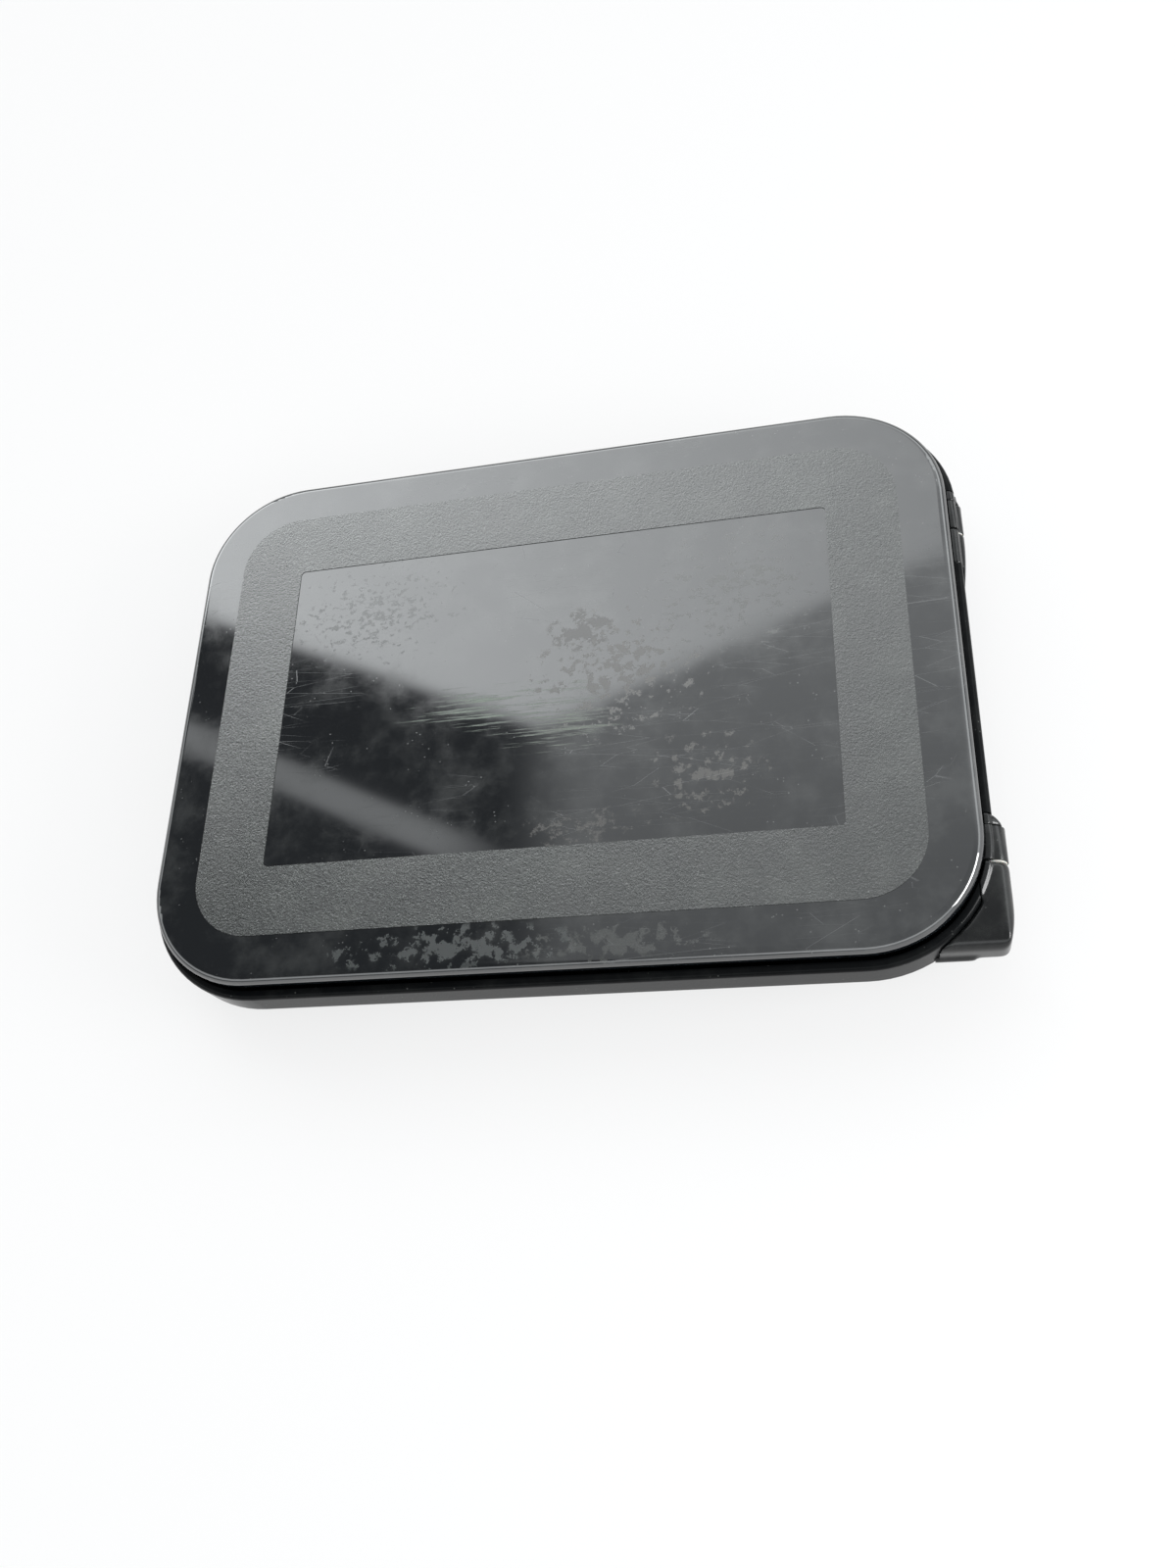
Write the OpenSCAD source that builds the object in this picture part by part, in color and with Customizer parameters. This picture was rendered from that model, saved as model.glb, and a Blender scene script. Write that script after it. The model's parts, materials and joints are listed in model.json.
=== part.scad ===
// Low-profile deck hatch: a smoked acrylic lens bonded to a lid frame, two hinges on the
// short right-hand side, two cam latches on the left, and a base frame with a spigot.
// The origin is the centre of the deck cut-out, on the deck plane. +X points to the hinges.

/* [Lens] */
// Length of the lens, along X
lens_len = 500; // [440:5:640]
// Depth of the lens, along Y
lens_dep = 362; // [320:1:480]
// Corner radius of the lens
lens_r = 68; // [62:1:76]
// Thickness of the acrylic lens
lens_t = 10; // [8:0.5:12]
// Height of the top of the lens above the deck
lid_top = 39; // [37:0.5:44]
// Radius of the bullnose along the lens's top edge
lens_nose = 5.5; // [2:0.5:7]

/* [Non-slip band] */
// Distance from the lens edge to the non-slip band
band_margin = 29.1; // [24:0.1:36]
// Width of the non-slip band
band_w = 44.1; // [30:0.1:50]
// Thickness of the non-slip coating
band_t = 0.4; // [0.2:0.1:1]
// Corner radius of the clear window inside the band
window_r = 3; // [1:0.5:12]

/* [Base frame] */
// How far the base stands out beyond the lens all round
overhang = 6; // [5:0.5:9]
// Height of the base frame's outer wall above the deck
base_h = 25; // [24:0.5:26]
// Thickness of the outer wall
wall_t = 5; // [4:0.5:6]
// Thickness of the floor that the deck screws go through
floor_t = 5; // [4:0.5:6]
// Width from the outer face to the inner face of the upstand
base_w = 34; // [32:0.5:38]
// Thickness of the upstand and of the spigot below it
upstand_t = 4; // [3:0.5:5]
// Height of the upstand that the seal closes on
upstand_h = 19; // [18:0.5:19.5]
// How far the spigot reaches down into the cut-out
spigot_h = 20; // [15:1:40]
// Radius of the deck screw holes
deck_hole_r = 2.7; // [2.2:0.1:3.2]

/* [Lid frame] */
// Thickness of the lid frame's plate
plate_t = 4.5; // [3.5:0.5:5]
// Thickness of the adhesive between plate and lens
bond_t = 0.5; // [0.3:0.1:1]
// Distance of the plate's outer edge inside the base's outer face
plate_in = 10; // [9:0.5:11]
// Width of the plate
plate_w = 30; // [28:0.5:31]

/* [Hinges] */
// Distance of the hinge axis inside the base's outer face
axis_in = 1.5; // [1:0.1:2]
// Height of the hinge axis above the deck
axis_z = 14.5; // [14:0.1:15]
// Distance of the front hinge's blunt end from the front face of the base
front_end_in = 88; // [82:1:97]
// Distance of the rear hinge's blunt end from the rear face of the base
rear_end_in = 67; // [63:1:87]
// Radius of the front hinge's knuckle
front_knuckle_r = 8; // [7:0.1:8.5]
// Radius of the rear hinge's knuckle
rear_knuckle_r = 4.9; // [4.7:0.1:6]
// Width of the moving hinge arm
arm_w = 20; // [14:1:24]
// Radius of the front hinge pin
front_pin_r = 3; // [2.5:0.1:3.2]
// Radius of the rear hinge pin
rear_pin_r = 2.4; // [2:0.1:2.6]
// Radial running clearance of a pin or shaft
run_fit = 0.05; // [0.02:0.01:0.1]

/* [Latches] */
// Distance of each latch from the centre line
latch_y = 80; // [70:1:90]
// Distance of the latch shafts inside the base's outer face
latch_in = 56; // [54:0.5:60]
// Radius of the latch shaft
shaft_r = 4; // [3.5:0.1:4.5]
// Length of the latch lever from its shaft
lever_len = 68; // [50:1:70]
// Thickness of the latch cam
cam_t = 6; // [5:0.5:7]

/* [Hidden] */
$fn = 96;

gap = 0.3;                                  // between parts that slide past each other
seam = 0.1;                                 // between parts that are fixed together
eps = 0.01;                                 // overlap that joins the solids of one part
big = 1000;                                 // reaches past everything

// All rings share the corner centres, so every section is drawn by its distance u from them.
corner_x = lens_len/2 - lens_r;
corner_y = lens_dep/2 - lens_r;
base_r = lens_r + overhang;
base_x = lens_len/2 + overhang;
base_y = lens_dep/2 + overhang;

// Heights, from the deck up
lens_z = lid_top - lens_t;
plate_top = lens_z - bond_t;
plate_z = plate_top - plate_t;
rim_round = 4;
foot_round = 2;

// Distances from the corner centres
rim_in_u = base_r - wall_t;
upstand_in_u = base_r - base_w;
upstand_out_u = upstand_in_u + upstand_t;
plate_out_u = base_r - plate_in;
plate_in_u = plate_out_u - plate_w;

// Deck screws: places along the long sides, either side of the middle of the short sides
deck_hole_u = (upstand_out_u + rim_in_u)/2;
deck_long_x = [60, corner_x - 12];
deck_short_y = 45;
countersink = 2.3;

// Seal groove under the lid frame
lip_t = 2;
inner_lip_t = 2.5;
inner_lip_z = 14;
seal_u = upstand_in_u + upstand_t/2;
outer_lip_u = upstand_out_u + 4;
outer_lip_z = upstand_h + 0.6;
seal_z = upstand_h + gap;
bulb_r = 3.3;
bulb_hole_r = 1.7;
strip_t = 2;

// Hinges: both are the same casting, with the front one larger and wrapped round the corner
axis_x = base_x - axis_in;
front_end_y = -(base_y - front_end_in);
rear_end_y = base_y - rear_end_in;
ear_w = 8;
arm_gap = 0.4;
washer_t = 1;
washer_gap = washer_t + 0.2;
bore_wall = 10;
arm_start = ear_w + arm_gap;
arm_end = arm_start + arm_w;
bore_start = arm_end + washer_gap;
bore_end = bore_start + bore_wall;
pocket_end = bore_end + 13;
pocket_wall = 1.6;
clip_pocket = 7;                            // the shorter pocket behind the rear pin
notch_start = 1;
notch_in = 9.5;                             // depth of the notch inboard of the axis
notch_end = pocket_end + 2;
nib = 13;                                   // rounding of a hinge's blunt end, in plan
pin_head_in = 3.5;                          // end wall left in front of the pin
tongue_t = 4;                               // the arm's tongue under the lid frame
tongue_in = 23;
flange_t = 3;
flange_in = 23;
front_foot_y = -(base_y - 10.5);
corner_nose = 9;
front_sweep_r = 80;
front_sweep_y = -(base_y - 37);
rear_sweep_r = 240;
rear_tail_y = rear_end_y - 70;

// Latches
latch_x = -(base_x - latch_in);
keeper_x = -(base_x - base_w);
keeper_z = 7.5;
keeper_top = 13;
keeper_reach = 11;
keeper_t = 2.5;
keeper_w = 34;
keeper_screw_y = 11;
keeper_screw_z = -2;
keeper_screw_r = 1.5;
cam_under = 0.5;                            // clear height between cam and keeper
cam_top = keeper_z - cam_under;
cam_z = cam_top - cam_t;
cam_w = 11;
// The nose's corners swing just clear of the keeper's back plate
cam_reach = sqrt(pow(latch_in - base_w - keeper_t - gap, 2) - pow(cam_w/2, 2));
housing_r = 10;
housing_z = 9;
housing_flange_t = 3;
lug_y = 22;
lug_reach = latch_in - plate_in + 14;
bush_r = shaft_r + 1.5;
bush_z = 10.5;
bush_top = 17.5;
head_r = 6.5;
hub_r = 8.5;
head_z = 18;
lever_z = cam_z - 10.2;
lever_w = 15;
shaft_z = lever_z + 2;
screw_r = 2;
arm_screw_y = 5;                            // screws either side of an arm's middle
housing_screw_y = 15;                       // and either side of a latch shaft

module mirror_y() {
    children();
    mirror([0, 1, 0]) children();
}

// Sweep a section round the rounded rectangle: x of the section is the distance u
module ring_sweep() {
    for (sx = [0, 1], sy = [0, 1])
        mirror([sx, 0, 0]) mirror([0, sy, 0]) translate([corner_x, corner_y, 0])
            rotate_extrude(angle = 90) children();
    for (a = [0, 180])
        rotate([0, 0, a]) {
            translate([corner_x, 0, 0]) rotate([90, 0, 0])
                linear_extrude(height = 2*corner_y, center = true) children();
            rotate([0, 0, 90]) translate([corner_y, 0, 0]) rotate([90, 0, 0])
                linear_extrude(height = 2*corner_x, center = true) children();
        }
}

// Solid slab with the outline at distance u from the corner centres
module slab(u, z0, z1) {
    translate([-corner_x - u, -corner_y, z0]) cube([2*(corner_x + u), 2*corner_y, z1 - z0]);
    translate([-corner_x, -corner_y - u, z0]) cube([2*corner_x, 2*(corner_y + u), z1 - z0]);
    for (x = [-corner_x, corner_x], y = [-corner_y, corner_y])
        translate([x, y, z0]) cylinder(r = u, h = z1 - z0);
}

// Flat slab on its centre with plain rounded corners
module plate(len, dep, r, z0, z1) {
    translate([-len/2, -dep/2 + r, z0]) cube([len, dep - 2*r, z1 - z0]);
    translate([-len/2 + r, -dep/2, z0]) cube([len - 2*r, dep, z1 - z0]);
    for (x = [r - len/2, len/2 - r], y = [r - dep/2, dep/2 - r])
        translate([x, y, z0]) cylinder(r = r, h = z1 - z0);
}

// A tube or a rod along Y, by its two ends
module rod_y(x, z, r, y0, y1) {
    translate([x, y1, z]) rotate([90, 0, 0]) cylinder(r = r, h = y1 - y0);
}

module box(x0, x1, y0, y1, z0, z1) {
    translate([x0, y0, z0]) cube([x1 - x0, y1 - y0, z1 - z0]);
}

// ---------- lens, band and bond ----------

module lens_edge_2d() {
    translate([lens_r - lens_nose - 1, lens_z]) square([1 + eps, lens_t]);
    translate([lens_r - lens_nose, lens_z + 1]) square([lens_nose, lens_t - lens_nose - 1]);
    translate([lens_r - lens_nose, lens_z]) square([lens_nose - 1, 1 + eps]);
    translate([lens_r - 1, lens_z + 1]) circle(r = 1);
    intersection() {
        translate([lens_r - lens_nose, lid_top - lens_nose]) circle(r = lens_nose);
        translate([lens_r - lens_nose, lens_z + 1]) square([lens_nose, lens_t]);
    }
}

module lens() {
    color([0.07, 0.08, 0.09]) {
        slab(lens_r - lens_nose - 0.5, lens_z, lid_top);
        ring_sweep() lens_edge_2d();
    }
}

module nonslip_band() {
    outer = band_margin;
    inner = band_margin + band_w;
    color([0.42, 0.44, 0.43]) difference() {
        slab(lens_r - outer, lid_top, lid_top + band_t);
        plate(lens_len - 2*inner, lens_dep - 2*inner, window_r, lid_top - 1, lid_top + band_t + 1);
    }
}

module lens_bond() {
    color([0.05, 0.05, 0.05]) difference() {
        slab(plate_out_u - 2, plate_top, lens_z);
        slab(plate_in_u + 2, plate_top - 1, lens_z + 1);
    }
}

// ---------- lid frame and seal ----------

module lid_section_2d() {
    translate([plate_in_u, plate_z]) square([plate_w, plate_t]);
    translate([plate_in_u, inner_lip_z]) square([inner_lip_t, plate_z - inner_lip_z + eps]);
    translate([outer_lip_u, outer_lip_z]) square([lip_t, plate_z - outer_lip_z + eps]);
}

module latch_lug(y) {
    x0 = -(base_x - plate_in - plate_w) - 1;
    difference() {
        box(x0, x0 + lug_reach - plate_w + 1, y - lug_y, y + lug_y, plate_z, plate_top);
        for (s = [-1, 1])
            translate([latch_x, y + s*housing_screw_y, plate_z - 1]) cylinder(r = screw_r, h = plate_t);
    }
}

module lid_frame() {
    color([0.05, 0.05, 0.055]) difference() {
        union() {
            ring_sweep() lid_section_2d();
            mirror_y() latch_lug(latch_y);
        }
        for (h = HINGES, s = [-1, 1])
            translate([arm_screw_x, arm_mid(h) + s*arm_screw_y, plate_z - 1])
                cylinder(r = screw_r, h = plate_t);
    }
}

module lid_seal() {
    color([0.1, 0.1, 0.1]) ring_sweep() difference() {
        union() {
            translate([plate_in_u + inner_lip_t + seam, plate_z - strip_t])
                square([outer_lip_u - plate_in_u - inner_lip_t - 2*seam, strip_t]);
            intersection() {
                translate([seal_u, seal_z + bulb_r]) circle(r = bulb_r);
                translate([seal_u - bulb_r, seal_z - 1])
                    square([2*bulb_r, plate_z - seal_z + 1]);
            }
        }
        translate([seal_u, seal_z + bulb_r - 0.9]) circle(r = bulb_hole_r);
    }
}

// ---------- base frame ----------

module rim_2d() {
    translate([rim_in_u, floor_t - eps]) square([wall_t, base_h - floor_t - rim_round + eps]);
    translate([rim_in_u, floor_t]) square([wall_t - rim_round + eps, base_h - floor_t]);
    intersection() {
        translate([base_r - rim_round, base_h - rim_round]) circle(r = rim_round);
        translate([base_r - rim_round, base_h - rim_round]) square(rim_round + 1);
    }
}

module base_section_2d() {
    rim_2d();
    translate([upstand_in_u, foot_round]) square([base_w, floor_t - foot_round]);
    translate([upstand_in_u, 0]) square([base_w - foot_round, floor_t]);
    translate([base_r - foot_round, foot_round]) circle(r = foot_round);
    translate([upstand_in_u, -spigot_h])
        square([upstand_t, spigot_h + upstand_h - upstand_t/2]);
    translate([seal_u, upstand_h - upstand_t/2]) circle(r = upstand_t/2);
}

module deck_hole(x, y) {
    translate([x, y, -1]) cylinder(r = deck_hole_r, h = floor_t + 2);
    translate([x, y, floor_t - countersink])
        cylinder(r1 = deck_hole_r, r2 = deck_hole_r + countersink + 0.1, h = countersink + 0.1);
}

module base_frame() {
    color([0.04, 0.04, 0.045]) difference() {
        ring_sweep() base_section_2d();
        for (x = deck_long_x, sx = [-1, 1], sy = [-1, 1])
            deck_hole(sx*x, sy*(corner_y + deck_hole_u));
        for (sx = [-1, 1], sy = [-1, 1])
            deck_hole(sx*(corner_x + deck_hole_u), sy*deck_short_y);
        for (h = HINGES) {
            box(axis_x - notch_in, base_x + 5, end_y(h) - notch_end, end_y(h) - notch_start,
                floor_t, base_h + 1);
            for (d = body_screw_d)
                translate([body_screw_x, end_y(h) - d, 1]) cylinder(r = screw_r, h = floor_t);
        }
        for (s = [-1, 1], t = [-1, 1])
            translate([keeper_x - upstand_t + 0.5, s*latch_y + t*keeper_screw_y, keeper_screw_z])
                rotate([0, 90, 0]) cylinder(r = keeper_screw_r, h = upstand_t);
    }
}

// ---------- hinges ----------

// Each hinge: [blunt end along Y, knuckle radius, pin radius, end of its pocket]
HINGES = [
    [front_end_y, front_knuckle_r, front_pin_r, pocket_end],
    [rear_end_y, rear_knuckle_r, rear_pin_r, bore_end + clip_pocket]
];
function end_y(h) = h[0];
function knuckle(h) = h[1];
function pin(h) = h[2];
function pocket_y(h) = end_y(h) - h[3];
function out_x(h) = axis_x + knuckle(h);
function arm_mid(h) = end_y(h) - arm_start - arm_w/2;
arm_screw_x = base_x - plate_in - 6.5;
body_screw_x = base_x - 15.5;
body_screw_d = [11, 34];

// The stretch of the base's rim between two places along Y, above z0
module rim_piece(y0, y1, z0) {
    intersection() {
        ring_sweep() rim_2d();
        box(axis_x - notch_in + seam, base_x + 5, y0, y1, z0, base_h + 1);
    }
}

// Section of a hinge pod across Y: square foot, rounded shoulder of the knuckle's radius
module pod_section(h, y0, y1, inner_x) {
    rod_y(axis_x, axis_z, knuckle(h), y0, y1);
    box(inner_x, out_x(h), y0, y1, 0, axis_z);
    box(inner_x, axis_x, y0, y1, 0, axis_z + knuckle(h));
}

// Plan of a pod's blunt end, rounded by a large corner radius
module blunt_plan(h) {
    yc = end_y(h) - nib + 0.6;
    box(base_x - 40, out_x(h), end_y(h) - bore_start - eps, yc, -1, base_h);
    translate([out_x(h) - nib, yc, -1]) cylinder(r = nib, h = base_h + 1);
}

// The part of a pod that lies outside the base's wall
module outside_base() {
    difference() {
        children();
        slab(base_r + seam, -2, base_h + 2);
    }
}

module front_tail(h) {
    cx = out_x(h) - front_sweep_r;
    foot_r = 5;
    fx = cx + sqrt(pow(front_sweep_r - foot_r, 2) - pow(front_foot_y + foot_r - front_sweep_y, 2));
    outside_base() {
        intersection() {
            pod_section(h, front_foot_y, end_y(h) - bore_start, corner_x);
            union() {
                box(corner_x, out_x(h), front_sweep_y, end_y(h) - bore_start, -1, base_h);
                intersection() {
                    translate([cx, front_sweep_y, -1]) cylinder(r = front_sweep_r, h = base_h, $fn = 180);
                    box(corner_x, out_x(h) + 1, front_foot_y + foot_r, front_sweep_y + eps, -2, base_h);
                }
                box(corner_x, fx, front_foot_y, front_foot_y + foot_r + eps, -1, base_h);
                translate([fx, front_foot_y + foot_r, -1]) cylinder(r = foot_r, h = base_h);
            }
            union() {
                box(corner_x, big/2, front_foot_y + corner_nose, 0, -1, base_h);
                box(corner_x, big/2, front_foot_y, 0, -1, axis_z + knuckle(h) - corner_nose);
                translate([corner_x, front_foot_y + corner_nose, axis_z + knuckle(h) - corner_nose])
                    rotate([0, 90, 0]) cylinder(r = corner_nose, h = big/4);
            }
        }
        box(corner_x + 20, axis_x - 14, front_foot_y - 1.8, front_foot_y + 8, 0, 5);
    }
}

module rear_tail(h) {
    cx = out_x(h) - rear_sweep_r;
    outside_base() intersection() {
        pod_section(h, rear_tail_y, end_y(h) - bore_start, base_x - 3);
        translate([cx, end_y(h) - bore_start, -1]) cylinder(r = rear_sweep_r, h = base_h, $fn = 360);
    }
}

module hinge_body(h) {
    ye = end_y(h);
    ear_z = floor_t + seam;
    clear_r = knuckle(h) + 0.5;
    color([0.06, 0.06, 0.065]) difference() {
        union() {
            // pod outside the wall, from the blunt end to the tail
            outside_base() intersection() {
                pod_section(h, ye - bore_start - eps, ye, base_x - 12);
                blunt_plan(h);
            }
            // ears that fill the notch in the rim
            intersection() {
                pod_section(h, ye - notch_end + seam, ye - notch_start - seam, axis_x - 7);
                box(axis_x - 7, base_x + 1, ye - notch_end, ye, ear_z, base_h);
            }
            rim_piece(ye - notch_end + seam, ye - notch_start - seam, ear_z);
            // flange on the floor of the base
            intersection() {
                box(base_x - flange_in, axis_x - 6, ye - notch_end + seam, ye - notch_start - seam,
                    ear_z, floor_t + flange_t);
                union() {
                    slab(rim_in_u - seam, 0, base_h);
                    box(axis_x - notch_in + seam, base_x, ye - notch_end, ye, 0, base_h);
                }
            }
            children();
        }
        // room for the arm
        box(axis_x - 12, out_x(h) + 3, ye - bore_start, ye - ear_w, axis_z, base_h + 1);
        box(axis_x - 12, axis_x, ye - bore_start, ye - ear_w, floor_t + flange_t, base_h);
        rod_y(axis_x, axis_z, clear_r, ye - bore_start, ye - ear_w);
        box(axis_x, out_x(h) + 3, ye - bore_start, ye - ear_w, axis_z - 6, axis_z + 1);
        // bores and the pocket for the fixings of the pin
        rod_y(axis_x, axis_z, pin(h) + run_fit, ye - bore_end - 1, ye - pin_head_in);
        box(axis_x - 5, axis_x + min(knuckle(h) - pocket_wall, 5.6), pocket_y(h), ye - bore_end,
            -1, axis_z + min(knuckle(h) - pocket_wall, 5.4));
        for (d = body_screw_d)
            translate([body_screw_x, ye - d, floor_t - 1]) cylinder(r = screw_r, h = flange_t + 2);
    }
}

module hinge_arm(h) {
    y1 = end_y(h) - arm_start;
    y0 = y1 - arm_w;
    color([0.06, 0.06, 0.065]) difference() {
        union() {
            rod_y(axis_x, axis_z, knuckle(h), y0, y1);
            rim_piece(y0, y1, axis_z);
            box(axis_x - 4, axis_x - 0.5, y0, y1, axis_z, plate_z - tongue_t/2);
            box(base_x - tongue_in, axis_x - 0.5, y0, y1, plate_z - tongue_t, plate_z);
        }
        rod_y(axis_x, axis_z, pin(h), y0 - 1, y1 + 1);
        for (s = [-1, 1])
            translate([arm_screw_x, arm_mid(h) + s*arm_screw_y, 10]) cylinder(r = screw_r, h = 20);
    }
}

module hinge_pin(h) {
    color([0.75, 0.76, 0.78])
        rod_y(axis_x, axis_z, pin(h), pocket_y(h) + 1.5, end_y(h) - pin_head_in - 0.5);
}

module washer_y(h, y, r, t) {
    difference() {
        rod_y(axis_x, axis_z, r, y - t, y);
        rod_y(axis_x, axis_z, pin(h) + run_fit, y - t - 1, y + 1);
    }
}

module side_washer(h) {
    color([0.85, 0.85, 0.8])
        washer_y(h, end_y(h) - arm_end - (washer_gap - washer_t)/2, knuckle(h) - 0.8, washer_t);
}

module spring_washers() {
    h = HINGES[0];
    color([0.7, 0.7, 0.72]) for (i = [0, 1])
        washer_y(h, end_y(h) - bore_end - 0.1 - i*1.3, 4.6, 1.1);
}

module hinge_nut() {
    h = HINGES[0];
    color([0.72, 0.73, 0.75]) difference() {
        translate([axis_x, end_y(h) - bore_end - 2.8, axis_z])
            rotate([90, 30, 0]) cylinder(r = 4.6, h = 5, $fn = 6);
        rod_y(axis_x, axis_z, pin(h), end_y(h) - pocket_end, end_y(h) - bore_end);
    }
}

module pin_clip() {
    h = HINGES[1];
    color([0.7, 0.7, 0.72]) difference() {
        rod_y(axis_x, axis_z, pin(h) + 0.8, end_y(h) - bore_end - 1, end_y(h) - bore_end - 0.2);
        rod_y(axis_x, axis_z, pin(h), end_y(h) - pocket_end, end_y(h) - bore_end);
    }
}

// Pan-head screw pointing down from the origin, head above
module screw(len, r = screw_r, head_t = 2.2) {
    difference() {
        union() {
            translate([0, 0, -len]) cylinder(r = r, h = len + eps);
            cylinder(r = 1.8*r, h = head_t);
        }
        translate([-1.2*r, -0.4, head_t - 0.9]) cube([2.4*r, 0.8, 1]);
        translate([-0.4, -1.2*r, head_t - 0.9]) cube([0.8, 2.4*r, 1]);
    }
}

module hinge_body_screws() {
    color([0.72, 0.73, 0.75]) for (h = HINGES, d = body_screw_d)
        translate([body_screw_x, end_y(h) - d, floor_t + flange_t])
            screw(flange_t + floor_t - 1);
}

module hinge_arm_screws() {
    color([0.72, 0.73, 0.75]) for (h = HINGES, s = [-1, 1])
        translate([arm_screw_x, arm_mid(h) + s*arm_screw_y, plate_z - tongue_t])
            rotate([180, 0, 0]) screw(tongue_t + plate_t - 1);
}

// ---------- latches ----------

// Places a latch part on the front (side = -1) or the rear (side = 1) shaft
module at_latch(side) {
    translate([latch_x, side*latch_y, 0]) children();
}

module latch_housing(side) {
    color([0.08, 0.08, 0.085]) at_latch(side) difference() {
        union() {
            translate([0, 0, housing_z]) cylinder(r = housing_r, h = plate_z - housing_z);
            translate([0, 0, plate_z - housing_flange_t]) {
                translate([-9, -housing_screw_y, 0]) cube([18, 2*housing_screw_y, housing_flange_t]);
                for (s = [-1, 1])
                    translate([0, s*housing_screw_y, 0]) cylinder(r = 6, h = housing_flange_t);
            }
        }
        translate([0, 0, head_z]) cylinder(r = head_r + 0.3, h = plate_z);
        translate([0, 0, bush_z]) cylinder(r = bush_r, h = head_z - bush_z + eps);
        translate([0, 0, housing_z - 1]) cylinder(r = shaft_r + 0.3, h = plate_z);
        for (s = [-1, 1])
            translate([0, s*housing_screw_y, 0]) cylinder(r = screw_r, h = plate_z + 1);
    }
}

module latch_bush(side) {
    color([0.85, 0.85, 0.8]) at_latch(side) difference() {
        translate([0, 0, bush_z]) cylinder(r = bush_r, h = bush_top - bush_z);
        translate([0, 0, bush_z - 1]) cylinder(r = shaft_r + run_fit, h = bush_top);
    }
}

module latch_shaft(side) {
    color([0.75, 0.76, 0.78]) at_latch(side) difference() {
        union() {
            translate([0, 0, shaft_z]) cylinder(r = shaft_r, h = head_z - shaft_z + 1);
            translate([0, 0, head_z + 0.2]) cylinder(r = head_r, h = plate_z - head_z - 0.7);
        }
        translate([0, 0, shaft_z - 1]) cylinder(r = screw_r, h = 9);
    }
}

module latch_cam(side) {
    color([0.3, 0.31, 0.32]) at_latch(side) difference() {
        union() {
            translate([0, 0, cam_z]) cylinder(r = hub_r, h = cam_t);
            translate([-cam_w/2, side > 0 ? -cam_reach : 0, cam_z]) cube([cam_w, cam_reach, cam_t]);
        }
        translate([0, 0, cam_z - 1]) cylinder(r = shaft_r, h = cam_t + 2);
    }
}

module latch_washer(side) {
    color([0.7, 0.7, 0.72]) at_latch(side) difference() {
        translate([0, 0, cam_top + 0.2]) cylinder(r = 8, h = housing_z - cam_top - 0.4);
        translate([0, 0, cam_top]) cylinder(r = shaft_r + 0.2, h = 4);
    }
}

module latch_lever(side) {
    hub_t = cam_z - lever_z - gap;
    color([0.07, 0.07, 0.075]) at_latch(side) difference() {
        union() {
            translate([0, 0, lever_z]) cylinder(r = 9.5, h = hub_t);
            translate([0, -lever_w/2, lever_z + 1])
                cube([lever_len - lever_w/2, lever_w, hub_t - 3]);
            translate([lever_len - lever_w/2, 0, lever_z + 1]) cylinder(r = lever_w/2, h = hub_t - 3);
        }
        translate([0, 0, shaft_z]) cylinder(r = shaft_r, h = hub_t);
        translate([0, 0, lever_z - 1]) cylinder(r = 2.2, h = 6);
        translate([18, 0, lever_z + hub_t - 3.5]) cylinder(r = 4, h = 4);
    }
}

module lever_screw(side) {
    color([0.72, 0.73, 0.75]) at_latch(side)
        translate([0, 0, lever_z]) rotate([180, 0, 0]) screw(9);
}

module latch_housing_screws() {
    color([0.72, 0.73, 0.75]) for (side = [-1, 1], s = [-1, 1])
        at_latch(side) translate([0, s*housing_screw_y, plate_z - housing_flange_t])
            rotate([180, 0, 0]) screw(housing_flange_t + plate_t - 1.2);
}

module keeper(side) {
    color([0.62, 0.63, 0.65]) translate([keeper_x, side*latch_y, 0]) difference() {
        union() {
            translate([0, -keeper_w/2, -7]) cube([keeper_t, keeper_w, keeper_top + 7]);
            translate([0, -keeper_w/2, keeper_z])
                cube([keeper_reach, keeper_w, keeper_top - keeper_z]);
        }
        for (t = [-1, 1])
            translate([-1, t*keeper_screw_y, keeper_screw_z])
                rotate([0, 90, 0]) cylinder(r = keeper_screw_r, h = keeper_t + 2);
    }
}

module keeper_screws() {
    color([0.72, 0.73, 0.75]) for (s = [-1, 1], t = [-1, 1])
        translate([keeper_x + keeper_t, s*latch_y + t*keeper_screw_y, keeper_screw_z])
            rotate([0, 90, 0]) screw(keeper_t + upstand_t - 1.2, keeper_screw_r, 1.6);
}

lens();
nonslip_band();
lens_bond();
lid_frame();
lid_seal();
base_frame();
hinge_body(HINGES[0]) front_tail(HINGES[0]);  // hinge_body_front
hinge_body(HINGES[1]) rear_tail(HINGES[1]);  // hinge_body_rear
hinge_arm(HINGES[0]);  // hinge_arm_front
hinge_arm(HINGES[1]);  // hinge_arm_rear
hinge_pin(HINGES[0]);  // hinge_pin_front
hinge_pin(HINGES[1]);  // hinge_pin_rear
side_washer(HINGES[0]);  // friction_washer
side_washer(HINGES[1]);  // thrust_washer
spring_washers();
hinge_nut();
pin_clip();
hinge_body_screws();
hinge_arm_screws();
latch_housing(-1);  // latch_housing_front
latch_housing(1);  // latch_housing_rear
latch_bush(-1);  // latch_bush_front
latch_bush(1);  // latch_bush_rear
latch_shaft(-1);  // latch_shaft_front
latch_shaft(1);  // latch_shaft_rear
latch_cam(-1);  // latch_cam_front
latch_cam(1);  // latch_cam_rear
latch_washer(-1);  // latch_washer_front
latch_washer(1);  // latch_washer_rear
latch_lever(-1);  // latch_lever_front
latch_lever(1);  // latch_lever_rear
lever_screw(-1);  // lever_screw_front
lever_screw(1);  // lever_screw_rear
latch_housing_screws();
keeper(-1);  // keeper_front
keeper(1);  // keeper_rear
keeper_screws();
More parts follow.
